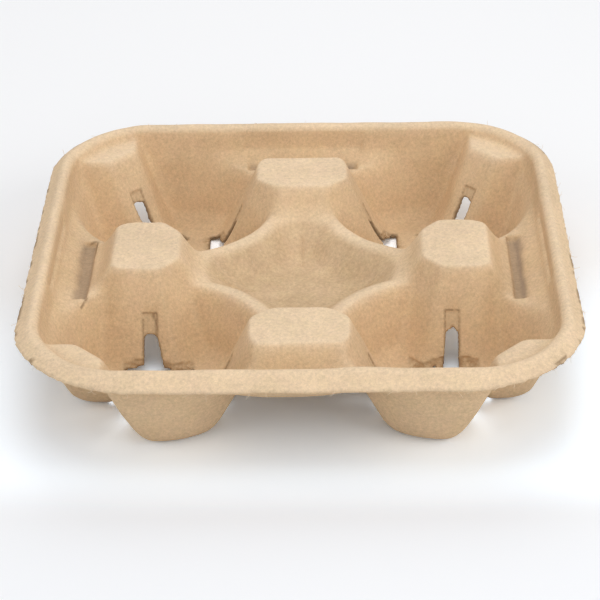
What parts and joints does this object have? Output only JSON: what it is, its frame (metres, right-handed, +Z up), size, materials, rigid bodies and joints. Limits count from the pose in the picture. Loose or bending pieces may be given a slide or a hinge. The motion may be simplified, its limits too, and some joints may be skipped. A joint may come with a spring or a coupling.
{
  "type": "moulded pulp cup carrier tray",
  "caption": "Square moulded pulp tray with rounded corners and a rolled rim. Its deep round wells hold cups, gripped by tapered posts and slotted corner ribs around a star-shaped recess.",
  "frame": {"origin": "under the middle of the tray, in the plane that its well floors stand on", "axes": "+Z up out of the wells, X and Y square to the tray's sides, with -Y the side nearest the camera"},
  "size_m": [0.215, 0.215, 0.042],
  "materials": {
    "pulp": "matte"
  },
  "bodies": {
    "root": {"tray": "pulp"}
  },
  "joints": []
}
